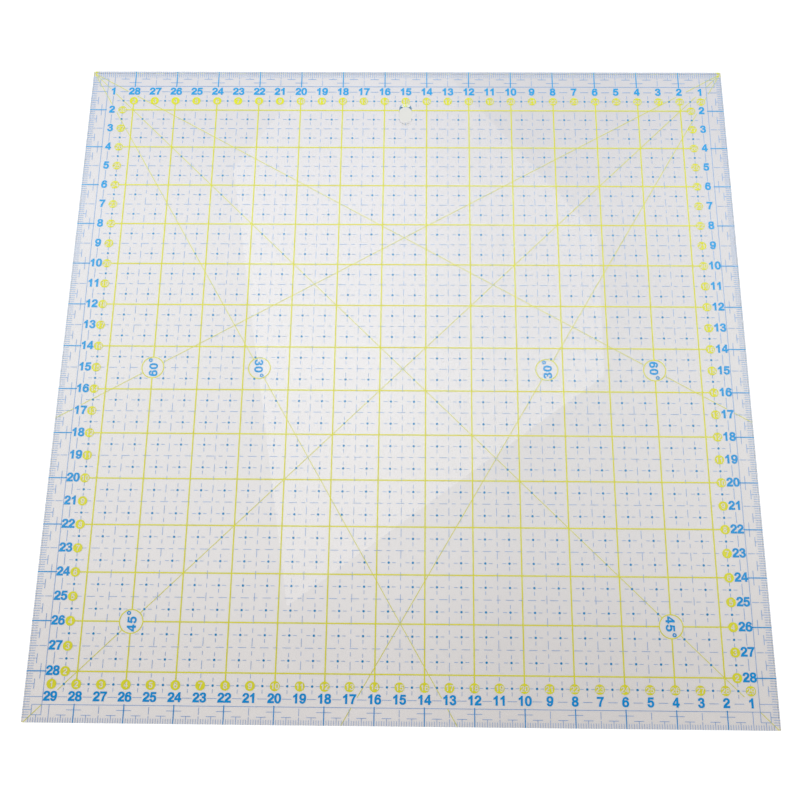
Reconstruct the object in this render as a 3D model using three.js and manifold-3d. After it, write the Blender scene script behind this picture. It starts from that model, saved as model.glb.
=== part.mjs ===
// Quilting ruler, 30 x 30 cm: one clear acrylic sheet with its markings printed on the underside.
// Millimetres, +Z up. X runs across the ruler and +Y points to the far edge, which has the hanging hole.
// The origin is the middle of the plan, on the surface that the ruler lies on.
//
// The print is two thin coats of ink. Yellow goes on first, straight onto the acrylic, and blue goes on
// second, so blue steps down over yellow where they cross. Each solid here is one joined-up patch of ink.
// Loose specks, such as numerals, millimetre ticks, dashes and dots, aren't solids in this file.

import * as THREE from 'three';
import { mergeVertices } from 'three/addons/utils/BufferGeometryUtils.js';
import Module from 'manifold-3d';

// ---- driving dimensions ----
const SIDE = 300;             // the scale runs from 0 to 30 cm between opposite edges
const PLATE_THICKNESS = 3;
const COAT = 0.05;            // one coat of ink

const HOLE_WIDTH = 6;         // oblong hanging hole, round at both ends
const HOLE_FAR_END = 17.5;    // distances from the far edge
const HOLE_NEAR_END = 27.5;
const HOLE_ARC_STEPS = 16;    // segments in each round end

const GRID_STEP = 20;
const GRID_LINE = 0.52;
const DISC_INSET = 15;        // centre of a number disc, from the edge
const DISC_RADIUS = 2;
const DISC_STEPS = 10;

const ANGLE_LINE = 0.25;
const RING_RADIUS = 4.8;      // middle of the line round a degree label
const RING_LINE = 0.4;
const RING_STEPS = 24;

const BORDER_INSET = 7;       // the border line closes a small square on each corner with the tees' bars
const BORDER_LINE = 0.17;
const EVEN_TICK_LENGTH = 7.4; // every 2 cm
const EVEN_TICK_LINE = 0.42;
const CROSSBAR_INSET = 5;     // the bar across an even tick
const CROSSBAR_HALF = 3;
const FIRST_TICK_INSET = 10;  // the 1 cm ticks next to each corner run on to the border line
const CORNER_TEE_INSET = 5;   // the half-centimetre tick next to each corner
const CORNER_TEE_LENGTH = 3;
const CORNER_TEE_HALF = 2;    // its bar just reaches the border line

// Angle lines start in both far corners. Each is printed in three stretches, given by how far they run
// across the ruler from their corner: a fan in the corner, the long middle, and a tail at the last edge.
// The gaps leave the numerals clear. A line at 60 degrees to the far edge is 30 degrees to the side edge.
const ANGLES = [
  { name: '30', fromFarEdge: 30, fanEnd: 16.8, middle: [21.5, 290], tailStart: 292.9 },
  { name: '45', fromFarEdge: 45, fanEnd: 8.3, middle: [11, 287.3], tailStart: 292.9 },
  { name: '60', fromFarEdge: 60, fanEnd: 9.8, middle: [12.4, 166.9], tailStart: 169.1 },
];
// Centres of the degree-label rings on the left half, measured from the middle of the ruler.
const RINGS = [[-110, 0], [-110, -110], [-63, 0]];

// ---- values worked out from them ----
const HALF = SIDE / 2;
const BLUE_BOTTOM = 0;
const YELLOW_BOTTOM = COAT;
const PLATE_BOTTOM = 2 * COAT;
const GRID_END = HALF - DISC_INSET;
const gridPlaces = Array.from({ length: SIDE / GRID_STEP - 1 }, (_, i) => (i + 1) * GRID_STEP - HALF);
const MIRROR_SIDES = [-1, 1];
const QUARTER_TURNS = [0, 1, 2, 3].map((n) => n * Math.PI / 2);
const SPARE_POINT_TOLERANCE = 0.0005;

const acrylic = new THREE.MeshStandardMaterial({
  color: 0xdde0e6, roughness: 0.06, metalness: 0, transparent: true, opacity: 0.45,
});
const yellowInk = new THREE.MeshStandardMaterial({ color: 0xd2d63c, roughness: 0.5, metalness: 0 });
const blueInk = new THREE.MeshStandardMaterial({ color: 0x2390d6, roughness: 0.5, metalness: 0 });

// ---- solids ----
const wasm = await Module();
wasm.setup();

function toSolid(geometry) {
  geometry.deleteAttribute('normal');
  geometry.deleteAttribute('uv');
  const merged = mergeVertices(geometry);
  return new wasm.Manifold(new wasm.Mesh({
    numProp: 3,
    vertProperties: new Float32Array(merged.attributes.position.array),
    triVerts: new Uint32Array(merged.index.array),
  }));
}

function toMesh(name, body, material) {
  const { vertProperties, triVerts } = body.getMesh();
  const geometry = new THREE.BufferGeometry();
  geometry.setAttribute('position', new THREE.BufferAttribute(vertProperties, 3));
  geometry.setIndex(new THREE.BufferAttribute(triVerts, 1));
  geometry.computeVertexNormals();
  const mesh = new THREE.Mesh(geometry, material);
  mesh.name = name;
  return mesh;
}

const joined = (bodies) => bodies.reduce((whole, body) => whole.add(body));

// Drops the spare points that joins leave along straight edges; the shape stays the same.
const tidied = (body) => body.asOriginal().simplify(SPARE_POINT_TOLERANCE);

// A straight stroke of ink from one point to another, square at its ends, turned about the ruler's middle.
function stroke([x0, y0], [x1, y1], width, bottom, turn = 0) {
  const geometry = new THREE.BoxGeometry(Math.hypot(x1 - x0, y1 - y0), width, PLATE_BOTTOM - bottom);
  geometry.rotateZ(Math.atan2(y1 - y0, x1 - x0));
  geometry.translate((x0 + x1) / 2, (y0 + y1) / 2, (PLATE_BOTTOM + bottom) / 2);
  geometry.rotateZ(turn);
  return toSolid(geometry);
}

function spot([x, y], radius, steps, bottom) {
  const geometry = new THREE.CylinderGeometry(radius, radius, PLATE_BOTTOM - bottom, steps);
  geometry.rotateX(Math.PI / 2);
  geometry.translate(x, y, (PLATE_BOTTOM + bottom) / 2);
  return toSolid(geometry);
}

// ---- acrylic plate ----
function plate() {
  const outline = new THREE.Shape([
    new THREE.Vector2(-HALF, -HALF), new THREE.Vector2(HALF, -HALF),
    new THREE.Vector2(HALF, HALF), new THREE.Vector2(-HALF, HALF),
  ]);
  const radius = HOLE_WIDTH / 2;
  const hole = new THREE.Path();
  hole.absarc(0, HALF - HOLE_FAR_END - radius, radius, 0, Math.PI, false);
  hole.absarc(0, HALF - HOLE_NEAR_END + radius, radius, Math.PI, 2 * Math.PI, false);
  outline.holes.push(hole);
  const geometry = new THREE.ExtrudeGeometry(outline, {
    depth: PLATE_THICKNESS, bevelEnabled: false, curveSegments: HOLE_ARC_STEPS,
  });
  geometry.translate(0, 0, PLATE_BOTTOM);
  return toSolid(geometry);
}

// ---- yellow coat ----
const yellowStroke = (from, to, width) => stroke(from, to, width, YELLOW_BOTTOM);
const yellowSpot = (centre, radius, steps) => spot(centre, radius, steps, YELLOW_BOTTOM);

// The point on an angle line that is `run` across the ruler from its corner; side is -1 on the left.
function alongAngle({ fromFarEdge }, side, run) {
  return [side * (HALF - run), HALF - run * Math.tan(fromFarEdge * Math.PI / 180)];
}

// The run at which an angle line leaves the plate, at the near edge or at the opposite side.
const lastRun = ({ fromFarEdge }) => Math.min(SIDE, SIDE / Math.tan(fromFarEdge * Math.PI / 180));

function angleStroke(angle, side, run0, run1) {
  return yellowStroke(alongAngle(angle, side, run0), alongAngle(angle, side, run1), ANGLE_LINE);
}

// Ink that ends at the plate's edge is trimmed flush with it.
const insidePlate = toSolid(new THREE.BoxGeometry(SIDE, SIDE, 4 * PLATE_BOTTOM));
const trimmed = (body) => body.intersect(insidePlate);

function yellowGrid() {
  const marks = [];
  for (const place of gridPlaces) {
    marks.push(yellowStroke([place, -GRID_END], [place, GRID_END], GRID_LINE));
    marks.push(yellowStroke([-GRID_END, place], [GRID_END, place], GRID_LINE));
    for (const end of [-GRID_END, GRID_END]) {
      marks.push(yellowSpot([place, end], DISC_RADIUS, DISC_STEPS));
      marks.push(yellowSpot([end, place], DISC_RADIUS, DISC_STEPS));
    }
  }
  for (const side of MIRROR_SIDES) {
    for (const angle of ANGLES) marks.push(angleStroke(angle, side, ...angle.middle));
  }
  const ringCentres = RINGS.flatMap(([x, y]) => [[x, y], [-x, y]]);
  const discOf = (radius) => ringCentres.map((centre) => yellowSpot(centre, radius, RING_STEPS));
  const windows = joined(discOf(RING_RADIUS - RING_LINE / 2));
  const holeWindow = toSolid(new THREE.BoxGeometry(
    HOLE_WIDTH, HOLE_NEAR_END - HOLE_FAR_END, 4 * PLATE_BOTTOM,
  ).translate(0, HALF - (HOLE_FAR_END + HOLE_NEAR_END) / 2, 0));
  const solidRings = discOf(RING_RADIUS + RING_LINE / 2);
  return tidied(joined([...marks, ...solidRings]).subtract(windows).subtract(holeWindow));
}

const cornerFan = (side) => trimmed(joined(ANGLES.map((angle) => angleStroke(angle, side, 0, angle.fanEnd))));
const tail = (angle, side) => trimmed(angleStroke(angle, side, angle.tailStart, lastRun(angle) + 1));

// ---- blue coat ----
// The markings along the near edge, turned round to the other edges.
function edgeMarks(turn) {
  const up = (inset) => inset - HALF;
  const blue = (from, to, width) => stroke(from, to, width, BLUE_BOTTOM, turn);
  const borderEnd = HALF - CORNER_TEE_LENGTH;
  const marks = [blue([-borderEnd, up(BORDER_INSET)], [borderEnd, up(BORDER_INSET)], BORDER_LINE)];
  const bar = up(CROSSBAR_INSET);
  for (const x of gridPlaces) {
    marks.push(blue([x, up(0)], [x, up(EVEN_TICK_LENGTH)], EVEN_TICK_LINE));
    marks.push(blue([x - CROSSBAR_HALF, bar], [x + CROSSBAR_HALF, bar], BORDER_LINE));
  }
  for (const side of MIRROR_SIDES) {
    const first = side * (HALF - FIRST_TICK_INSET);
    const tee = side * (HALF - CORNER_TEE_INSET);
    const teeTop = up(CORNER_TEE_LENGTH);
    marks.push(blue([first, up(0)], [first, up(BORDER_INSET)], BORDER_LINE));
    marks.push(blue([tee, up(0)], [tee, teeTop], BORDER_LINE));
    marks.push(blue([tee - CORNER_TEE_HALF, teeTop], [tee + CORNER_TEE_HALF, teeTop], BORDER_LINE));
  }
  return joined(marks);
}

// ---- the ruler ----
const yellowBodies = [['yellow_grid', yellowGrid()]];
for (const side of MIRROR_SIDES) {
  const hand = side < 0 ? 'left' : 'right';
  yellowBodies.push([`yellow_corner_fan_${hand}`, cornerFan(side)]);
  for (const angle of ANGLES) yellowBodies.push([`yellow_line_end_${angle.name}_${hand}`, tail(angle, side)]);
}
const allYellow = joined(yellowBodies.map(([, body]) => body));
const blueBorder = joined(QUARTER_TURNS.map(edgeMarks));

const ruler = new THREE.Group();
ruler.add(toMesh('acrylic_plate', plate(), acrylic));
for (const [name, body] of yellowBodies) ruler.add(toMesh(name, body, yellowInk));
ruler.add(toMesh('blue_border', tidied(blueBorder.subtract(allYellow)), blueInk));

export default ruler;
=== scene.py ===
# Quilting ruler, 30 x 30 cm: a clear acrylic plate with yellow and blue print on its underside.
# The print is laid out in millimetres from the ruler's middle, +Y to the far edge, as the CAD frame is.
# Blender objects are in metres, so every point passes through MM on its way into a mesh.

import math

import bpy
from mathutils import Matrix, Vector
from mathutils.geometry import delaunay_2d_cdt, tessellate_polygon


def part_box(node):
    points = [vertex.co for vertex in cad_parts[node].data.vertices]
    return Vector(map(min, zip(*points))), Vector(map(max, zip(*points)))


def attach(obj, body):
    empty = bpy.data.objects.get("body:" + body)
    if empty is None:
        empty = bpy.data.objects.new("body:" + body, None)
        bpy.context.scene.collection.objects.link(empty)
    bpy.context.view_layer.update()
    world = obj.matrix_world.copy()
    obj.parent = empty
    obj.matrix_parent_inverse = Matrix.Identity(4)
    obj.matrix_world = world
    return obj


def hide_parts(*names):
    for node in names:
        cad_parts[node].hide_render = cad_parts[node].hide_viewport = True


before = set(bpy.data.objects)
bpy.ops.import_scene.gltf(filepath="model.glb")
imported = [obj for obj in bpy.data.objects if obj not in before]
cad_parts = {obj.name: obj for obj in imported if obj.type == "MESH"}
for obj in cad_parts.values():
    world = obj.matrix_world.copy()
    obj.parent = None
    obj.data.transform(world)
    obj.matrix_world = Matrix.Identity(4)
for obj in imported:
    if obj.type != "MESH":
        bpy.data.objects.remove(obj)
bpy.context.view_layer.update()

MM = 0.001

# ---- sizes from the frame, in millimetres ----
plate_low, plate_high = (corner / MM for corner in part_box("acrylic_plate"))
HALF = plate_high.x
PLATE_BOTTOM = plate_low.z
PLATE_TOP = plate_high.z
REACH = HALF * MM             # from the ruler's middle to its edge, in metres
YELLOW_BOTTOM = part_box("yellow_grid")[0].z / MM
BLUE_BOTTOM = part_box("blue_border")[0].z / MM

# The ink wets the acrylic, so its top lies a hair inside the plate and light crosses no air to reach it.
# Both inks are thin, so blue shows where the two cross: its top is the higher one.
YELLOW_TOP = PLATE_BOTTOM + 0.006
BLUE_TOP = PLATE_BOTTOM + 0.010

# ---- the print's layout, in millimetres ----
CM = 10
SIDE = 2 * HALF

HOLE_RADIUS = 3
HOLE_FAR_END = 17.5           # from the far edge
HOLE_NEAR_END = 27.5

GRID_STEP = 2 * CM
GRID_LINE = 0.52
DISC_INSET = 15
DISC_RADIUS = 2
DISC_CAP_HEIGHT = 2.3

ANGLE_LINE = 0.25
RING_RADIUS = 4.8
RING_LINE = 0.4
FAN_START = 0.4               # the fans stop this short of the far corners

BORDER_INSET = 7
THIN_LINE = 0.17
FINE_LINE = 0.15              # dashes inside the grid
MILLIMETRE_LINE = 0.14
EVEN_TICK_LENGTH = 7.4
EVEN_TICK_WIDTHS = (0.38, 0.42, 0.46, 0.42)   # printed a little unevenly: near, right, far, left
CROSSBAR_INSET = 5
CROSSBAR_HALF = 3
HALF_TICK_LENGTH = 3
HALF_TICK_BAR = 1.95          # half the length of a half-centimetre tick's bar
CORNER_TEE_INSET = 5
CORNER_TEE_BAR = 2
MILLIMETRE_TICK_LENGTH = 2
ODD_TICK_DASHES = ((0, 3.0), (3.6, 6.4))

NUMERAL_INSET = 10
NUMERAL_CAP_HEIGHT = 3.7
NUMERAL_BASELINE = -1.5       # below the line that the numeral names
ROW_DASH_HALF = 1.9           # dashes between numerals, in the rows and in the columns
COLUMN_DASH_HALF = 2.35
COLUMN_DASH_SHIFT = 0.2

DOT_RADIUS = 0.50             # half-centimetre crosses: a dot and four dashes
CROSS_DASH = (1.45, 3.0)
SHORTEST_DASH = 0.3           # scraps shorter than this are left out

DASH_PERIOD = 9.07            # dash-dot lines on the odd centimetres
LONG_DASH = (0, 3.4)
SHORT_DASH = (5.3, 6.95)
ACROSS_START = 20.8 - 2 * DASH_PERIOD    # phase and extent, from the left edge
ACROSS_EXTENT = (17.0, 281.8)
ALONG_START = 21.25 - DASH_PERIOD        # from the far edge
ALONG_EXTENT = (21.0, 282.3)
SHORTEST_END_DASH = 1.0       # a dash cut shorter than this by the extent is left out

# Angle lines run from both far corners in three stretches, given as the run across the ruler from their
# own corner: a fan in the corner, the long middle and the tail. The gaps leave the numerals clear.
ANGLES = {
    30: {"fan": {-1: 16.8, 1: 16.5}, "middle": {-1: 21.5, 1: 21.7}, "middle_end": 290, "tail": 292.9},
    45: {"fan": {-1: 8.3, 1: 7.3}, "middle": {-1: 11.0, 1: 12.2}, "middle_end": 287.3, "tail": 292.9},
    60: {"fan": {-1: 9.8, 1: 6.2}, "middle": {-1: 12.4, 1: 12.3}, "middle_end": 166.9, "tail": 169.1},
}
FAR_DISC_STUB = (7.2, 8.6)    # a scrap of the right 60 degree line that runs into the last far disc

# Degree labels: centre of the ring, text, and the way it reads: 1 towards the far edge, -1 towards the near.
DEGREE_LABELS = [
    (-110, 0, "60", 1), (110, 0, "60", -1),
    (-63, 0, "30", -1), (63, 0, "30", 1),
    (-110, -110, "45", 1), (110, -110, "45", -1),
]
DEGREE_CAP_HEIGHT = 3.6
DEGREE_WIDENING = 1.07        # its digits are this much wider than the edge numerals'
DEGREE_TEXT_START = -4.15
DEGREE_BASELINE = -2.08
DEGREE_SIGN = (3.4, 1.15)     # centre of the little ring, in the label's own axes
DEGREE_SIGN_RADII = (0.85, 0.36)

SIDES = (-1, 1)
FAR, NEAR = HALF, -HALF
grid_places = [(i + 1) * GRID_STEP - HALF for i in range(round(SIDE / GRID_STEP) - 1)]
cm_places = [i * CM - HALF for i in range(1, round(SIDE / CM))]
half_cm_places = [i * CM + CM / 2 - HALF for i in range(1, round(SIDE / CM) - 1)]


# ---- flat outlines ----
SHARPEST_MITRE = 0.4


def stroke(start, end, width):
    """A straight stroke of ink, square at its ends."""
    a, b = Vector(start), Vector(end)
    along = (b - a).normalized()
    across = Vector((-along.y, along.x)) * width / 2
    return [a - across, b - across, b + across, a + across]


def rectangle(x0, x1, y0, y1):
    return [(x0, y0), (x1, y0), (x1, y1), (x0, y1)]


def circle(centre, radius, steps=24):
    turns = (2 * math.pi * i / steps for i in range(steps))
    return [Vector((centre[0] + radius * math.cos(t), centre[1] + radius * math.sin(t))) for t in turns]


def placed(outline, centre=(0, 0), turn=0.0, scale=1.0):
    spin = Matrix.Rotation(turn, 2)
    return [spin @ (Vector(p) * scale) + Vector(centre) for p in outline]


def is_clockwise(outline):
    return sum(a[0] * b[1] - b[0] * a[1] for a, b in zip(outline, [*outline[1:], outline[0]])) < 0


def grown(outline, by):
    """The outline with every side moved outwards by so much, or inwards if it is negative."""
    points = [Vector(p) for p in (reversed(outline) if is_clockwise(outline) else outline)]
    result = []
    for before, point, after in zip(points[-1:] + points[:-1], points, points[1:] + points[:1]):
        a, b = (point - before).normalized(), (after - point).normalized()
        mitre = Vector((a.y + b.y, -a.x - b.x))
        result.append(point + mitre * by / max(mitre.length_squared / 2, SHARPEST_MITRE))
    return result


def slot(outset=0.0, steps=32):
    """The hanging hole's outline, grown outwards by outset."""
    radius = HOLE_RADIUS + outset
    ends = ((FAR - HOLE_FAR_END - HOLE_RADIUS, 0.0), (FAR - HOLE_NEAR_END + HOLE_RADIUS, math.pi))
    points = []
    for centre_y, first in ends:
        for i in range(steps + 1):
            turn = first + math.pi * i / steps
            points.append(Vector((radius * math.cos(turn), centre_y + radius * math.sin(turn))))
    return points


def fill(outlines, keep):
    """Meshes overlapping outlines as one flat sheet: keep(owners) says which of the overlaps are ink."""
    points, rims = [], []
    for outline in outlines:
        rims.append(list(range(len(points), len(points) + len(outline))))
        points.extend(reversed(outline) if is_clockwise(outline) else outline)
    merged, _, triangles, _, _, owners = delaunay_2d_cdt(points, [], rims, 0, 1e-6, True)
    return merged, [t for t, own in zip(triangles, owners) if keep(set(own))]


def union(outlines, windows=()):
    """One flat sheet of all the outlines, with the windows left clear."""
    first_window = len(outlines)

    def keep(owners):
        return bool(owners) and max(owners) < first_window

    return fill([*outlines, *windows], keep)


def gathered(sheets):
    """Several sheets as one."""
    points, faces = [], []
    for sheet_points, sheet_faces in sheets:
        shift = len(points)
        points.extend(sheet_points)
        faces.extend([[i + shift for i in face] for face in sheet_faces])
    return points, faces


def loose(outlines):
    """Outlines that don't touch each other, one face each."""
    return gathered([(outline, [range(len(outline))]) for outline in outlines])


def moved(sheet, centre, turn=0.0, scale=1.0):
    points, faces = sheet
    return placed(points, centre, turn, scale), faces


# ---- numerals: outlines in the proportions of a common bold grotesque ----
CAP_UNITS = 710               # height of a digit
CELL = 556                    # width of its cell
OVERSHOOT = 19                # round digits dip this far below the baseline
PITCH = 532                   # from one digit's cell to the next
DEGREE_PITCH = 600            # the same in a degree label
NUMERAL_SPREAD = 18           # printing spreads every edge of a digit by this much
KNOCKED_OUT_SPREAD = 6        # and a digit left clear in a disc by this much
DEGREE_SPREAD = 12            # and a digit of a degree label by this much


def oval(cx, cy, rx, ry, steps=28, squareness=2.3):
    """A slightly square oval, as a superellipse."""
    points = []
    for i in range(steps):
        c, s = math.cos(2 * math.pi * i / steps), math.sin(2 * math.pi * i / steps)
        x = rx * math.copysign(abs(c) ** (2 / squareness), c)
        y = ry * math.copysign(abs(s) ** (2 / squareness), s)
        points.append((cx + x, cy + y))
    return points


def trace(start, *parts, steps=6):
    """An outline from start through parts: two numbers are a straight line's end, six are a Bezier curve's
    two handles and its end."""
    points = [start]
    for part in parts:
        if len(part) == 2:
            points.append(part)
            continue
        knots = [Vector(points[-1])] + [Vector(part[i:i + 2]) for i in (0, 2, 4)]
        for i in range(1, steps + 1):
            t = i / steps
            weights = ((1 - t) ** 3, 3 * t * (1 - t) ** 2, 3 * t * t * (1 - t), t ** 3)
            points.append(tuple(sum((w * k for w, k in zip(weights, knots)), Vector((0, 0)))))
    return points


def upside_down(outline):
    """Turns a six into a nine."""
    return [(CELL - x, CAP_UNITS - OVERSHOOT - y) for x, y in outline]


six_ink = [
    oval(278, 226, 247, 245),
    trace((31, 226), (31, 540, 122, 710, 292, 710), (410, 710, 492, 640, 508, 528), (376, 512),
          (366, 572, 338, 602, 288, 602), (212, 602, 170, 520, 166, 385), (150, 226)),
]
six_counter = [oval(280, 224, 112, 130)]

# Each digit is its inked outlines, which may overlap, and its counters.
DIGITS = {
    "0": ([oval(278, 346, 246, 365)], [oval(278, 346, 110, 256)]),
    "1": ([trace((378, 0), (378, 710), (268, 710), (248, 640, 180, 575, 92, 548), (92, 425),
                 (150, 442, 205, 472, 242, 510), (242, 0))], []),
    "2": ([trace((510, 0), (510, 124), (232, 124), (256, 166, 300, 205, 380, 268),
                 (465, 335, 512, 400, 512, 492), (512, 620, 415, 710, 276, 710),
                 (130, 710, 40, 622, 32, 478), (166, 466), (172, 550, 210, 598, 272, 598),
                 (332, 598, 374, 560, 374, 500), (374, 440, 332, 405, 232, 330),
                 (100, 232, 36, 150, 28, 0))], []),
    "3": ([trace((32, 196), (42, 60, 135, -19, 270, -19), (415, -19, 520, 72, 520, 204),
                 (520, 292, 472, 352, 398, 374), (462, 400, 496, 450, 496, 516),
                 (496, 630, 405, 710, 270, 710), (140, 710, 54, 640, 42, 512), (172, 496),
                 (180, 566, 215, 600, 268, 600), (322, 600, 358, 566, 358, 512),
                 (358, 450, 320, 418, 252, 418), (216, 418), (216, 312), (262, 312),
                 (336, 312, 380, 274, 380, 206), (380, 136, 336, 92, 270, 92),
                 (208, 92, 170, 132, 162, 208))], []),
    "4": ([trace((440, 0), (440, 148), (528, 148), (528, 264), (440, 264), (440, 710), (322, 710),
                 (22, 268), (22, 148), (308, 148), (308, 0))],
          [trace((308, 264), (134, 264), (308, 530))]),
    "5": ([trace((492, 698), (492, 578), (202, 578), (182, 446), (214, 468, 250, 478, 292, 478),
                 (425, 478, 518, 378, 518, 236), (518, 84, 412, -19, 266, -19),
                 (132, -19, 40, 60, 28, 184), (164, 198), (172, 130, 208, 94, 264, 94),
                 (336, 94, 380, 146, 380, 230), (380, 312, 336, 360, 268, 360),
                 (226, 360, 192, 342, 166, 306), (46, 322), (112, 698))], []),
    "6": (six_ink, six_counter),
    "7": ([trace((30, 698), (526, 698), (526, 594), (404, 452, 322, 262, 304, 0), (164, 0),
                 (184, 226, 260, 412, 384, 576), (30, 576))], []),
    "8": ([oval(278, 523, 222, 187), oval(278, 185, 246, 204)],
          [oval(278, 515, 94, 84), oval(278, 198, 110, 100)]),
    "9": ([upside_down(o) for o in six_ink], [upside_down(o) for o in six_counter]),
}


def text_width(text):
    return PITCH * (len(text) - 1) + CELL


def set_text(text, spread, pitch=PITCH):
    """Inked outlines and counters of a number whose first cell starts at the origin."""
    ink, counters = [], []
    for i, digit in enumerate(text):
        digit_ink, digit_counters = DIGITS[digit]
        ink += [placed(grown(o, spread), (i * pitch, 0)) for o in digit_ink]
        counters += [placed(grown(o, -spread), (i * pitch, 0)) for o in digit_counters]
    return ink, counters


numeral_sheets = {}


def numeral(text, centre):
    """A numeral centred over its place; each number is meshed once and then copied."""
    if text not in numeral_sheets:
        numeral_sheets[text] = union(*set_text(text, NUMERAL_SPREAD))
    scale = NUMERAL_CAP_HEIGHT / CAP_UNITS
    corner = (centre[0] - text_width(text) * scale / 2, centre[1] + NUMERAL_BASELINE)
    return moved(numeral_sheets[text], corner, 0.0, scale)


# ---- clear windows: upright capsules (x, low y, high y, radius) that straight dashes stop at ----
ring_windows = [(x, y, y, RING_RADIUS) for x, y, _, _ in DEGREE_LABELS]
hole_window = (0, FAR - HOLE_NEAR_END + HOLE_RADIUS, FAR - HOLE_FAR_END - HOLE_RADIUS, HOLE_RADIUS)


def left_over(low, high, gaps):
    """What is left of the span from low to high outside the gaps."""
    spans = [(low, high)]
    for gap_low, gap_high in gaps:
        pieces = [(a, min(b, gap_low)) for a, b in spans] + [(max(a, gap_high), b) for a, b in spans]
        spans = [(a, b) for a, b in pieces if b - a > SHORTEST_DASH]
    return sorted(set(spans))


def dash_across(y, x0, x1, width, windows=()):
    """Strokes along X at one y, interrupted by the windows."""
    gaps = []
    for x, low, high, radius in windows:
        off = y - min(max(y, low), high)
        if abs(off) < radius:
            half = math.sqrt(radius ** 2 - off ** 2)
            gaps.append((x - half, x + half))
    return [stroke((a, y), (b, y), width) for a, b in left_over(x0, x1, gaps)]


def dash_along(x, y0, y1, width, windows=()):
    """Strokes along Y at one x, interrupted by the windows."""
    gaps = []
    for window_x, low, high, radius in windows:
        off = x - window_x
        if abs(off) < radius:
            half = math.sqrt(radius ** 2 - off ** 2)
            gaps.append((low - half, high + half))
    return [stroke((x, a), (x, b), width) for a, b in left_over(y0, y1, gaps)]


# ---- solids from sheets ----
def add_object(name, points, faces, materials):
    mesh = bpy.data.meshes.new(name)
    mesh.from_pydata([p * MM for p in points], [], faces)
    for material in materials:
        mesh.materials.append(material)
    mesh.validate()
    mesh.update()
    piece = bpy.data.objects.new(name, mesh)
    bpy.context.scene.collection.objects.link(piece)
    return piece


def facing_up(points, face):
    """The face's corners in the order that turns it upwards."""
    return list(reversed(face)) if is_clockwise([points[i] for i in face]) else list(face)


def ink_piece(name, sheet, bottom, top, material, nodes=()):
    """A thin closed solid from a flat sheet, riding on the plate."""
    flat_points, flat_faces = sheet
    faces = [facing_up(flat_points, face) for face in flat_faces]
    used = sorted({i for face in faces for i in face})
    index = {old: new for new, old in enumerate(used)}
    faces = [[index[i] for i in face] for face in faces]
    count = len(used)
    points = [Vector((*flat_points[i], z)) for z in (top, bottom) for i in used]
    edges = {(a, b) for face in faces for a, b in zip(face, face[1:] + face[:1])}
    walls = [(b, a, a + count, b + count) for a, b in sorted(edges) if (b, a) not in edges]
    floor_faces = [[i + count for i in reversed(face)] for face in faces]
    piece = add_object(name, points, faces + floor_faces + walls, [material])
    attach(piece, "root")
    if nodes:
        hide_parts(*nodes)
    return piece


# ---- materials ----
def set_stops(band, stops):
    """Sets a colour ramp from (position, colour) pairs."""
    while len(band.elements) < len(stops):
        band.elements.new(0.5)
    for element, (position, colour) in zip(band.elements, stops):
        element.position = position
        element.color = (*colour, 1)


class Nodes:
    """A material's node tree, with short calls for what the materials here share."""

    def __init__(self, name):
        self.material = bpy.data.materials.new(name)
        self.material.use_nodes = True
        self.tree = self.material.node_tree
        self.shader = self.tree.nodes["Principled BSDF"]
        self.place = self.tree.nodes.new("ShaderNodeTexCoord").outputs["Object"]

    def set(self, **values):
        for key, value in values.items():
            self.shader.inputs[key.replace("_", " ")].default_value = value

    def link(self, output, socket):
        self.tree.links.new(output, self.shader.inputs[socket])

    def noise(self, scale, detail=4.0, stretch=(1, 1, 1), turn=0.0):
        """Noise with features about 1/scale metres across."""
        mapping = self.tree.nodes.new("ShaderNodeMapping")
        mapping.inputs["Scale"].default_value = stretch
        mapping.inputs["Rotation"].default_value = (0, 0, turn)
        self.tree.links.new(self.place, mapping.inputs["Vector"])
        node = self.tree.nodes.new("ShaderNodeTexNoise")
        node.inputs["Scale"].default_value = scale
        node.inputs["Detail"].default_value = detail
        self.tree.links.new(mapping.outputs["Vector"], node.inputs["Vector"])
        return node.outputs["Fac"]

    def gradient(self, axis, low, high):
        """Nought to one from low to high along an axis, in metres."""
        split = self.tree.nodes.new("ShaderNodeSeparateXYZ")
        self.tree.links.new(self.place, split.inputs["Vector"])
        along = self.tree.nodes.new("ShaderNodeMapRange")
        along.inputs["From Min"].default_value = low
        along.inputs["From Max"].default_value = high
        self.tree.links.new(split.outputs[axis], along.inputs["Value"])
        return along.outputs["Result"]

    def times(self, a, b):
        node = self.tree.nodes.new("ShaderNodeMix")
        node.data_type = "RGBA"
        node.blend_type = "MULTIPLY"
        node.inputs["Factor"].default_value = 1.0
        self.tree.links.new(a, node.inputs["A"])
        self.tree.links.new(b, node.inputs["B"])
        return node.outputs["Result"]

    def ramp(self, factor, stops):
        """stops are (position, colour) pairs; a plain number stands for a grey."""
        node = self.tree.nodes.new("ShaderNodeValToRGB")
        set_stops(node.color_ramp, [(position, colour if isinstance(colour, tuple) else (colour,) * 3)
                                    for position, colour in stops])
        self.tree.links.new(factor, node.inputs["Fac"])
        return node.outputs["Color"]

    def bump(self, height, strength, distance):
        node = self.tree.nodes.new("ShaderNodeBump")
        node.inputs["Strength"].default_value = strength
        node.inputs["Distance"].default_value = distance
        self.tree.links.new(height, node.inputs["Height"])
        self.link(node.outputs["Normal"], "Normal")


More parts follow.
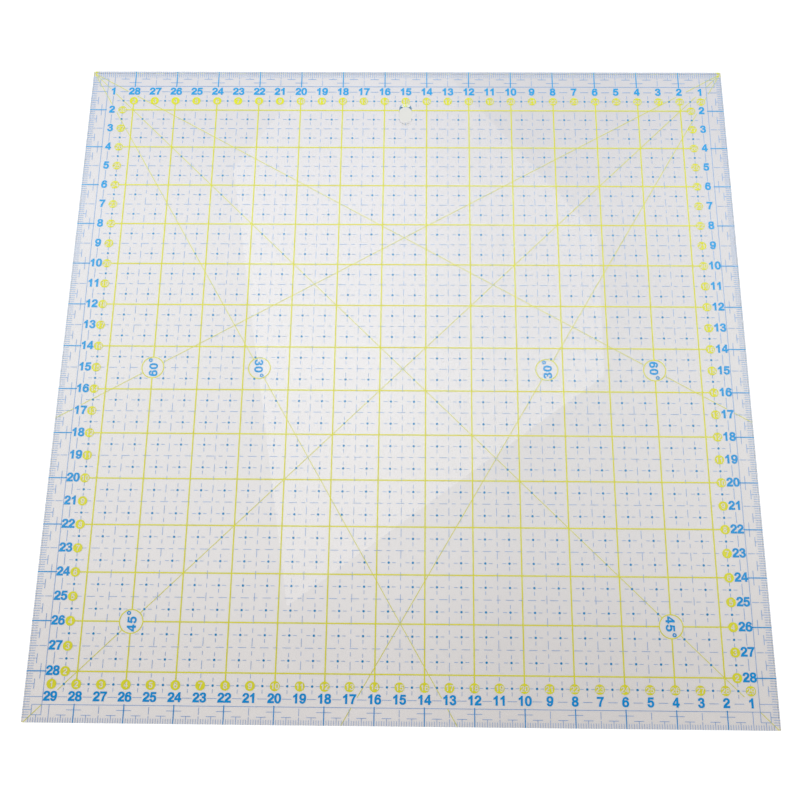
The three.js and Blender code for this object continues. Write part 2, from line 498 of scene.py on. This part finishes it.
def acrylic_material(name, colours, roughness, scratch_depth):
    """Clear cast acrylic: faint clouds in its tint, and handling marks in its gloss."""
    nodes = Nodes(name)
    nodes.set(Transmission_Weight=1.0, IOR=1.49)
    nodes.link(nodes.ramp(nodes.noise(9.0), [(0.35, colours[0]), (0.65, colours[1])]), "Base Color")
    scuffs = nodes.noise(260.0, detail=6.0, stretch=(0.08, 1, 1), turn=math.radians(24))
    nodes.link(nodes.ramp(scuffs, [(0.55, roughness[0]), (0.8, roughness[1])]), "Roughness")
    nodes.bump(scuffs, 0.05, scratch_depth)
    return nodes.material


def ink_material(name, near_edge, far_edge, opacity):
    """Screen-printed ink, matt, in uneven random blotches of tone, with painted light that makes it paler and
    brighter towards the far edge.
    """
    nodes = Nodes(name)
    nodes.set(Alpha=opacity, IOR=1.48, Specular_IOR_Level=0.05)
    blotches_and_painted_light = nodes.tree.nodes.new("ShaderNodeMath")
    blotches_and_painted_light.operation = "MULTIPLY_ADD"
    blotches_and_painted_light.inputs[1].default_value = 0.5
    # Random blotches from the noise, plus painted light: the gradient along Y lifts the ink towards the far
    # edge.
    nodes.tree.links.new(nodes.noise(420.0), blotches_and_painted_light.inputs[0])
    nodes.tree.links.new(nodes.gradient("Y", -REACH, REACH), blotches_and_painted_light.inputs[2])
    nodes.link(nodes.ramp(blotches_and_painted_light.outputs["Value"], [(0.25, near_edge), (1.0, far_edge)]), "Base Color")
    nodes.link(nodes.ramp(nodes.noise(900.0), [(0.3, 0.38), (0.7, 0.6)]), "Roughness")
    nodes.bump(nodes.noise(3500.0, detail=2.0), 0.15, 0.00002)
    return nodes.material


acrylic = acrylic_material(
    "acrylic", ((0.938, 0.926, 0.992), (0.952, 0.94, 0.998)), (0.0, 0.03), 0.00001)
polished_edge = acrylic_material(
    "polished_edge", ((0.95, 0.96, 0.975), (0.97, 0.98, 0.985)), (0.0, 0.05), 0.00002)
drilled_edge = acrylic_material(
    "drilled_edge", ((0.88, 0.91, 0.95), (0.93, 0.95, 0.98)), (0.04, 0.2), 0.00004)
# Each ink runs from its near-edge colour to a lighter far-edge colour; that brightening is painted light.
yellow_ink = ink_material("yellow_ink", (0.515, 0.495, 0.022), (0.683, 0.705, 0.013), 0.93)
blue_ink = ink_material("blue_ink", (0.001, 0.188, 0.45), (0.001, 0.328, 0.69), 0.96)
dot_blue_ink = ink_material("dot_blue_ink", (0.001, 0.166, 0.365), (0.001, 0.27, 0.54), 0.96)
fine_blue_ink = ink_material("fine_blue_ink", (0.102, 0.26, 0.55), (0.143, 0.416, 0.79), 0.8)


# ---- acrylic plate ----
EASED_EDGE = 0.12             # every edge is scraped round by this much
EASE_STEPS = 2
CORNER_RADIUS = 0.4
CORNER_STEPS = 6


def square(inset):
    """The plate's outline, drawn in by inset, with slightly blunt corners."""
    radius = CORNER_RADIUS - inset
    reach = HALF - CORNER_RADIUS
    points = []
    for quarter, (sx, sy) in enumerate(((1, 1), (-1, 1), (-1, -1), (1, -1))):
        centre = Vector((sx * reach, sy * reach))
        for i in range(CORNER_STEPS + 1):
            turn = math.pi / 2 * (quarter + i / CORNER_STEPS)
            points.append(centre + radius * Vector((math.cos(turn), math.sin(turn))))
    return points


def ruler_plate():
    quarter = [math.pi / 2 * i / EASE_STEPS for i in range(EASE_STEPS + 1)]
    lower = [(EASED_EDGE * (1 - math.sin(t)), PLATE_BOTTOM + EASED_EDGE * (1 - math.cos(t))) for t in quarter]
    upper = [(inset, PLATE_TOP + PLATE_BOTTOM - z) for inset, z in reversed(lower)]
    points, faces = [], []

    def wall(loop_at, flipped):
        """Rings of one wall from bottom to top, joined by quads; returns the lowest and highest ring."""
        rings = []
        for inset, z in lower + upper:
            loop = loop_at(inset)
            rings.append(range(len(points), len(points) + len(loop)))
            points.extend(Vector((*p, z)) for p in loop)
        for below, above in zip(rings, rings[1:]):
            for i in range(len(below)):
                j = (i + 1) % len(below)
                quad = (below[i], below[j], above[j], above[i])
                faces.append(quad[::-1] if flipped else quad)
        return rings[0], rings[-1]

    outer_low, outer_high = wall(square, False)
    outer_count = len(faces)
    hole_low, hole_high = wall(slot, True)
    wall_count = len(faces)
    for rings, upwards in (((outer_high, hole_high), True), ((outer_low, hole_low), False)):
        order = [i for ring in rings for i in ring]
        for triangle in tessellate_polygon([[points[i] for i in ring] for ring in rings]):
            face = facing_up(points, [order[i] for i in triangle])
            faces.append(face if upwards else face[::-1])
    piece = add_object("ruler_plate", points, faces, [acrylic, polished_edge, drilled_edge])
    for face in piece.data.polygons:
        face.use_smooth = True
        face.material_index = 1 if face.index < outer_count else 2 if face.index < wall_count else 0
    piece.data.set_sharp_from_angle(angle=math.radians(20))
    # Light goes through clear acrylic, so the plate throws no shadow and doesn't dim what lies under it.
    piece.visible_shadow = False
    piece.visible_diffuse = False
    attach(piece, "root")
    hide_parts("acrylic_plate")


ruler_plate()


# ---- yellow print ----
def yellow_piece(name, sheet, nodes=()):
    ink_piece(name, sheet, YELLOW_BOTTOM, YELLOW_TOP, yellow_ink, nodes)


def angle_point(angle, side, run):
    """The point on an angle line that is run across the ruler from its far corner, left (-1) or right (1)."""
    return side * (HALF - run), FAR - run * math.tan(math.radians(angle))


def angle_stroke(angle, side, run0, run1):
    return stroke(angle_point(angle, side, run0), angle_point(angle, side, run1), ANGLE_LINE)


def last_run(angle):
    return min(SIDE, SIDE / math.tan(math.radians(angle)))


def disc_with_number(text, centre):
    """A disc's outline, and the number knocked out of it as ink and counters."""
    scale = DISC_CAP_HEIGHT / CAP_UNITS
    corner = (centre[0] - text_width(text) * scale / 2, centre[1] - DISC_CAP_HEIGHT / 2)
    ink, counters = set_text(text, KNOCKED_OUT_SPREAD)
    return (circle(centre, DISC_RADIUS), [placed(o, corner, 0.0, scale) for o in ink],
            [placed(o, corner, 0.0, scale) for o in counters])


def number_discs():
    """Every number disc as (centimetres, centre)."""
    discs = []
    for cm, place in enumerate(cm_places, start=1):
        if cm > 1:
            discs.append((cm, (place, FAR - DISC_INSET)))
        discs.append((cm, (place, NEAR + DISC_INSET)))
        if 1 < cm < len(cm_places):
            for side in SIDES:
                discs.append((cm, (side * (HALF - DISC_INSET), place)))
    return discs


def knocked_out(outlines, discs, windows=()):
    """Outlines and discs as one sheet, less the discs' numbers and the windows."""
    made = [disc_with_number(str(cm), centre) for cm, centre in discs]
    ink = [*outlines, *(disc for disc, _, _ in made)]
    numbers = [o for _, number_ink, _ in made for o in number_ink]
    counters = [o for _, _, number_counters in made for o in number_counters]
    first_number = len(ink)
    first_counter = first_number + len(numbers)
    first_window = first_counter + len(counters)

    def keep(owners):
        inked = any(o < first_number for o in owners)
        in_number = any(first_number <= o < first_counter for o in owners)
        in_counter = any(first_counter <= o < first_window for o in owners)
        in_window = any(o >= first_window for o in owners)
        return inked and not in_window and (in_counter or not in_number)

    return fill([*ink, *numbers, *counters, *windows], keep)


def grid_sheet(discs):
    end = HALF - DISC_INSET
    lines = []
    for place in grid_places:
        lines.append(stroke((place, -end), (place, end), GRID_LINE))
        lines.append(stroke((-end, place), (end, place), GRID_LINE))
    for side in SIDES:
        for angle, runs in ANGLES.items():
            lines.append(angle_stroke(angle, side, runs["middle"][side], runs["middle_end"]))
    centres = [(x, y) for x, y, _, _ in DEGREE_LABELS]
    rings = [circle(c, RING_RADIUS + RING_LINE / 2, 48) for c in centres]
    windows = [circle(c, RING_RADIUS - RING_LINE / 2, 48) for c in centres]
    return knocked_out(lines + rings, discs, [*windows, slot()])


def clipped(outline):
    """An outline cut off at the plate's edges."""
    inside = [Vector(p) for p in rectangle(-HALF, HALF, -HALF, HALF)]
    return fill([outline, inside], lambda owners: owners == {0, 1})


all_discs = number_discs()
even_discs = [(cm, centre) for cm, centre in all_discs if cm % 2 == 0]
odd_discs = [(cm, centre) for cm, centre in all_discs if cm % 2 == 1]
yellow_piece("yellow_grid_print", grid_sheet(even_discs), ["yellow_grid"])
stub = angle_stroke(60, 1, *FAR_DISC_STUB)
yellow_piece("odd_number_discs", knocked_out([stub], odd_discs))

for side, hand in zip(SIDES, ("left", "right")):
    fan = [angle_stroke(angle, side, FAN_START, runs["fan"][side]) for angle, runs in ANGLES.items()]
    yellow_piece(f"corner_fan_{hand}", union(fan), [f"yellow_corner_fan_{hand}"])
    for angle, runs in ANGLES.items():
        tail = clipped(angle_stroke(angle, side, runs["tail"], last_run(angle) + 1))
        yellow_piece(f"line_end_{angle}_{hand}", tail, [f"yellow_line_end_{angle}_{hand}"])


# ---- blue print ----
def blue_piece(name, sheet, material=blue_ink, nodes=()):
    ink_piece(name, sheet, BLUE_BOTTOM, BLUE_TOP, material, nodes)


def on_edge(quarter, outlines):
    """Outlines drawn along the near edge, turned to another edge: 0 near, 1 right, 2 far, 3 left."""
    return [placed(o, turn=quarter * math.pi / 2) for o in outlines]


def on_all_edges(outlines):
    return [o for quarter in range(4) for o in on_edge(quarter, outlines)]


def even_ticks():
    ticks = []
    for quarter, width in enumerate(EVEN_TICK_WIDTHS):
        along_edge = [stroke((x, NEAR), (x, NEAR + EVEN_TICK_LENGTH), width) for x in grid_places]
        ticks += on_edge(quarter, along_edge)
    return ticks


def border_sheet():
    end = HALF - HALF_TICK_LENGTH
    marks = [stroke((-end, NEAR + BORDER_INSET), (end, NEAR + BORDER_INSET), THIN_LINE)]
    bar_y = NEAR + CROSSBAR_INSET
    for x in grid_places:
        marks.append(stroke((x - CROSSBAR_HALF, bar_y), (x + CROSSBAR_HALF, bar_y), THIN_LINE))
    for side in SIDES:
        first = side * (HALF - CM)
        tee = side * (HALF - CORNER_TEE_INSET)
        tee_top = NEAR + HALF_TICK_LENGTH
        marks.append(stroke((first, NEAR), (first, NEAR + BORDER_INSET), THIN_LINE))
        marks.append(stroke((tee, NEAR), (tee, tee_top), THIN_LINE))
        marks.append(stroke((tee - CORNER_TEE_BAR, tee_top), (tee + CORNER_TEE_BAR, tee_top), THIN_LINE))
    # The even ticks are a heavier ink of their own, so the fine lines stop at them.
    return union(on_all_edges(marks), even_ticks())


def tee_outline(x):
    """A half-centimetre tick and its bar, as one outline."""
    stem, bar, rim = THIN_LINE / 2, HALF_TICK_BAR, THIN_LINE / 2
    top = NEAR + HALF_TICK_LENGTH
    corners = [(-stem, NEAR), (stem, NEAR), (stem, top - rim), (bar, top - rim),
               (bar, top + rim), (-bar, top + rim), (-bar, top - rim), (-stem, top - rim)]
    return [Vector((x + dx, y)) for dx, y in corners]


def millimetre_marks():
    places = [i - HALF for i in range(2, round(SIDE) - 1) if i % 5]
    return [stroke((x, NEAR), (x, NEAR + MILLIMETRE_TICK_LENGTH), MILLIMETRE_LINE) for x in places]


def odd_centimetre_marks():
    places = [x for x in cm_places if x not in grid_places and abs(x) < HALF - CM]
    return [stroke((x, NEAR + low), (x, NEAR + high), THIN_LINE)
            for x in places for low, high in ODD_TICK_DASHES]


def numeral_row(y, first):
    """Numerals along X, counting down to 1 at the right; first is the one at the left corner."""
    texts = [first] + [str(count) for count in range(len(cm_places) - 1, 0, -1)]
    return gathered([numeral(text, (x, y)) for text, x in zip(texts, cm_places)])


def numeral_column(x):
    """Numerals along Y, counting up from 2 under the far row to the one above the near row."""
    places = list(reversed(cm_places))[1:-1]
    return gathered([numeral(str(count), (x, y)) for count, y in enumerate(places, start=2)])


def numeral_dashes():
    """Dashes between the numerals, down both columns and along both rows."""
    corner_discs = [(x, y, y, DISC_RADIUS) for _, (x, y) in all_discs]
    dashes = []
    for side in SIDES:
        line = side * (HALF - NUMERAL_INSET)
        for place in half_cm_places:
            dashes += dash_across(line, place - ROW_DASH_HALF, place + ROW_DASH_HALF, THIN_LINE)
            low = place + COLUMN_DASH_SHIFT - COLUMN_DASH_HALF
            dashes += dash_along(line, low, low + 2 * COLUMN_DASH_HALF, THIN_LINE, corner_discs)
    return dashes


def cross_dots():
    windows = ring_windows + [hole_window]

    def clear(x, y):
        return all(math.hypot(x - wx, y - min(max(y, low), high)) > radius + DOT_RADIUS / 2
                   for wx, low, high, radius in windows)

    return [circle((x, y), DOT_RADIUS, 12) for x in half_cm_places for y in half_cm_places if clear(x, y)]


def cross_dashes():
    windows = ring_windows + [hole_window]
    near_end, far_end = CROSS_DASH
    dashes = []
    for x in half_cm_places:
        for y in half_cm_places:
            dashes += dash_across(y, x - far_end, x - near_end, FINE_LINE, windows)
            dashes += dash_across(y, x + near_end, x + far_end, FINE_LINE, windows)
            dashes += dash_along(x, y - far_end, y - near_end, FINE_LINE, windows)
            dashes += dash_along(x, y + near_end, y + far_end, FINE_LINE, windows)
    return dashes


def dash_dot_spans(start, extent):
    """Where the dashes of a dash-dot line lie, as distances from the edge it is measured from."""
    spans = []
    for i in range(math.ceil((extent[1] - start) / DASH_PERIOD)):
        for low, high in (LONG_DASH, SHORT_DASH):
            a = max(start + i * DASH_PERIOD + low, extent[0])
            b = min(start + i * DASH_PERIOD + high, extent[1])
            if b - a > SHORTEST_END_DASH:
                spans.append((a, b))
    return spans


def dash_dot_lines():
    windows = ring_windows + [hole_window]
    odd_places = [p for p in cm_places if p not in grid_places and abs(p) < HALF - CM]
    dashes = []
    for place in odd_places:
        for a, b in dash_dot_spans(ACROSS_START, ACROSS_EXTENT):
            dashes += dash_across(place, a - HALF, b - HALF, FINE_LINE, windows)
        for a, b in dash_dot_spans(ALONG_START, ALONG_EXTENT):
            dashes += dash_along(place, FAR - b, FAR - a, FINE_LINE, windows)
    return dashes


def degree_label(x, y, text, reading):
    """A number and its degree sign, turned to read along the ruler's side."""
    scale = DEGREE_CAP_HEIGHT / CAP_UNITS
    points, faces = union(*set_text(text, DEGREE_SPREAD, DEGREE_PITCH))
    widened = [(px * DEGREE_WIDENING, py) for px, py in points]
    number = moved((widened, faces), (DEGREE_TEXT_START, DEGREE_BASELINE), 0.0, scale)
    outer, inner = DEGREE_SIGN_RADII
    sign = union([circle(DEGREE_SIGN, outer)], [circle(DEGREE_SIGN, inner, 16)])
    return moved(gathered([number, sign]), (x, y), reading * math.pi / 2)


blue_piece("even_ticks", loose(even_ticks()), nodes=["blue_border"])
blue_piece("border", border_sheet(), fine_blue_ink, ["blue_border"])
blue_piece("millimetre_ticks", loose(on_all_edges(millimetre_marks())), fine_blue_ink)
half_cm_ticks = on_all_edges([tee_outline(x) for x in half_cm_places])
blue_piece("half_centimetre_ticks", loose(half_cm_ticks), fine_blue_ink)
blue_piece("odd_centimetre_ticks", loose(on_all_edges(odd_centimetre_marks())), fine_blue_ink)
blue_piece("numerals_far", numeral_row(FAR - NUMERAL_INSET, "1"))
blue_piece("numerals_near", numeral_row(NEAR + NUMERAL_INSET, str(len(cm_places))))
for side, hand in zip(SIDES, ("left", "right")):
    blue_piece(f"numerals_{hand}", numeral_column(side * (HALF - NUMERAL_INSET)))
blue_piece("dashes_between_numerals", loose(numeral_dashes()), fine_blue_ink)
blue_piece("half_centimetre_dots", loose(cross_dots()), dot_blue_ink)
blue_piece("half_centimetre_dashes", loose(cross_dashes()), fine_blue_ink)
blue_piece("odd_centimetre_dash_dot_lines", union(dash_dot_lines()), fine_blue_ink)
blue_piece("degree_labels", gathered([degree_label(*label) for label in DEGREE_LABELS]))


# ---- studio, in metres ----
FLOOR_HEIGHT = -0.00008
PAPER_HEIGHT = -0.00002
# The paper's colours are partly its own tint and partly painted shade: darker at the near edge, and darker
# towards the right (PAPER_SHADE).
PAPER_NEAR = (0.619, 0.596, 0.547)
PAPER_MIDDLE = (0.643, 0.639, 0.592)
PAPER_FAR = (0.648, 0.648, 0.628)
PAPER_SHADE = [(0.45, 1.0), (0.65, 0.91), (0.8, 0.91), (0.92, 0.935)]   # from the left edge to the right

SKY = [(0.0, 1.0), (0.1, 0.95), (0.45, 0.85), (0.75, 0.38)]             # (height, grey)
SKY_TINT = (0.96, 0.98, 1.0)
KEY_FROM = (-0.45, 0.3, 1.55)
KEY_STRENGTH = 2.41
KEY_SPREAD = 40               # degrees
KEY_TINT = (1.0, 0.99, 0.97)

CEILING_HEIGHT = 0.9
CEILING_TINT = (0.95, 0.96, 1.0)
CEILING_BANDS = [(-0.15, 0.1), (-0.05, 0.35), (0.07, 1.1), (0.31, 1.7), (0.55, 1.7), (0.68, 1.1), (0.77, 0.9)]
DIFFUSER_HEIGHT = 0.88
DIFFUSER_CORNERS = [(-0.25, 0.6), (-0.15, 0.0), (0.25, 0.3), (0.25, 0.5), (0.05, 0.75), (-0.15, 0.75)]
DIFFUSER_TINT = (0.97, 0.98, 1.0)
DIFFUSER_BANDS = [(-0.15, 0.5), (0.07, 1.7), (0.31, 2.5), (0.55, 2.2), (0.77, 1.0)]

SENSOR_WIDTH = 36             # millimetres, as the lens is
LENS = 48.29
CAMERA_PLACE = (0.0060, -0.1556, 0.4452)
CAMERA_AHEAD = (-0.0152, 0.30324, -0.95279)
CAMERA_RIGHT = (0.99986, 0.01087, -0.01249)


def flat_stage(name, outline, height, material):
    """A flat sheet of the studio, which isn't part of the ruler."""
    corners = [Vector((x / MM, y / MM, height / MM)) for x, y in outline]
    piece = add_object(name, corners, [range(len(corners))], [material])
    return piece


def floor_material():
    nodes = Nodes("studio_floor")
    nodes.link(nodes.ramp(nodes.noise(3.0), [(0.3, 0.89), (0.7, 0.91)]), "Base Color")
    nodes.set(Roughness=0.9)
    return nodes.material


def paper_material():
    """Off-white paper: cooler towards the far edge, with painted shade that darkens it towards the near edge
    and a little towards the right.
    """
    nodes = Nodes("off_white_paper")
    colours = [(0.0, PAPER_NEAR), (0.5, PAPER_MIDDLE), (1.0, PAPER_FAR)]
    # The near-to-far ramp holds both the paper's tint and painted shade.
    tint_and_painted_shade = nodes.ramp(nodes.gradient("Y", -REACH, REACH), colours)
    shade = nodes.ramp(nodes.gradient("X", -REACH, REACH), PAPER_SHADE)
    fibres = nodes.ramp(nodes.noise(3.0), [(0.3, 0.97), (0.7, 1.0)])
    nodes.link(nodes.times(nodes.times(tint_and_painted_shade, shade), fibres), "Base Color")
    nodes.set(Roughness=0.8)
    return nodes.material


def glow_material(name, colour, bands):
    """Light that varies across the sheet from near to far; bands are (distance, radiance) in metres."""
    nodes = Nodes(name)
    tree = nodes.tree
    low, high = bands[0][0], bands[-1][0]
    brightest = max(radiance for _, radiance in bands)
    stops = [((distance - low) / (high - low), tuple(radiance / brightest * c for c in colour))
             for distance, radiance in bands]
    glow = tree.nodes.new("ShaderNodeEmission")
    tree.links.new(nodes.ramp(nodes.gradient("Y", low, high), stops), glow.inputs["Color"])
    glow.inputs["Strength"].default_value = brightest
    tree.links.new(glow.outputs["Emission"], tree.nodes["Material Output"].inputs["Surface"])
    tree.nodes.remove(nodes.shader)
    nodes.material.cycles.emission_sampling = "NONE"
    return nodes.material


def sheen_sheet(name, outline, height, material):
    """A sheet seen only as sheen in the acrylic: it lights nothing and hides nothing."""
    piece = flat_stage(name, outline, height, material)
    piece.visible_camera = piece.visible_diffuse = piece.visible_shadow = False


def soft_light(name, place, strength, spread):
    """Even light from one side of the sky, the same at any distance, and never seen as a glint."""
    data = bpy.data.lights.new(name, "SUN")
    data.energy = strength
    data.angle = math.radians(spread)
    data.color = KEY_TINT
    light = bpy.data.objects.new(name, data)
    light.rotation_euler = (-Vector(place)).to_track_quat("-Z", "Y").to_euler()
    light.visible_glossy = light.visible_transmission = False
    bpy.context.scene.collection.objects.link(light)


def studio_world(stops):
    """White round the horizon and dimmer overhead; stops are (height, grey), with the zenith at 1."""
    world = bpy.data.worlds.new("studio")
    world.use_nodes = True
    tree = world.node_tree
    split = tree.nodes.new("ShaderNodeSeparateXYZ")
    tree.links.new(tree.nodes.new("ShaderNodeTexCoord").outputs["Generated"], split.inputs["Vector"])
    ramp = tree.nodes.new("ShaderNodeValToRGB")
    set_stops(ramp.color_ramp, [(height, tuple(grey * c for c in SKY_TINT)) for height, grey in stops])
    tree.links.new(split.outputs["Z"], ramp.inputs["Fac"])
    tree.links.new(ramp.outputs["Color"], tree.nodes["Background"].inputs["Color"])
    bpy.context.scene.world = world


def camera():
    """High over the near edge, tilted about 18 degrees from straight down."""
    data = bpy.data.cameras.new("camera")
    data.sensor_width = SENSOR_WIDTH
    data.lens = LENS
    data.clip_start = 0.01
    place = Vector(CAMERA_PLACE)
    ahead = Vector(CAMERA_AHEAD).normalized()
    up = Vector(CAMERA_RIGHT).cross(ahead).normalized()
    right = ahead.cross(up)
    viewer = bpy.data.objects.new("camera", data)
    viewer.matrix_world = Matrix.Translation(place) @ Matrix((right, up, -ahead)).transposed().to_4x4()
    bpy.context.scene.collection.objects.link(viewer)
    bpy.context.scene.camera = viewer


flat_stage("floor", rectangle(-4, 4, -4, 4), FLOOR_HEIGHT, floor_material())
# The ruler lies on a sheet of off-white paper of its own size, which its clear acrylic shows.
flat_stage("paper", rectangle(-REACH, REACH, -REACH, REACH), PAPER_HEIGHT, paper_material())

studio_world(SKY)
soft_light("key", KEY_FROM, KEY_STRENGTH, KEY_SPREAD)
ceiling = glow_material("ceiling", CEILING_TINT, CEILING_BANDS)
sheen_sheet("ceiling", rectangle(-1.2, 1.2, -0.6, 1.6), CEILING_HEIGHT, ceiling)
diffuser = glow_material("diffuser", DIFFUSER_TINT, DIFFUSER_BANDS)
sheen_sheet("diffuser", DIFFUSER_CORNERS, DIFFUSER_HEIGHT, diffuser)
camera()
bpy.context.scene.view_settings.view_transform = "Standard"
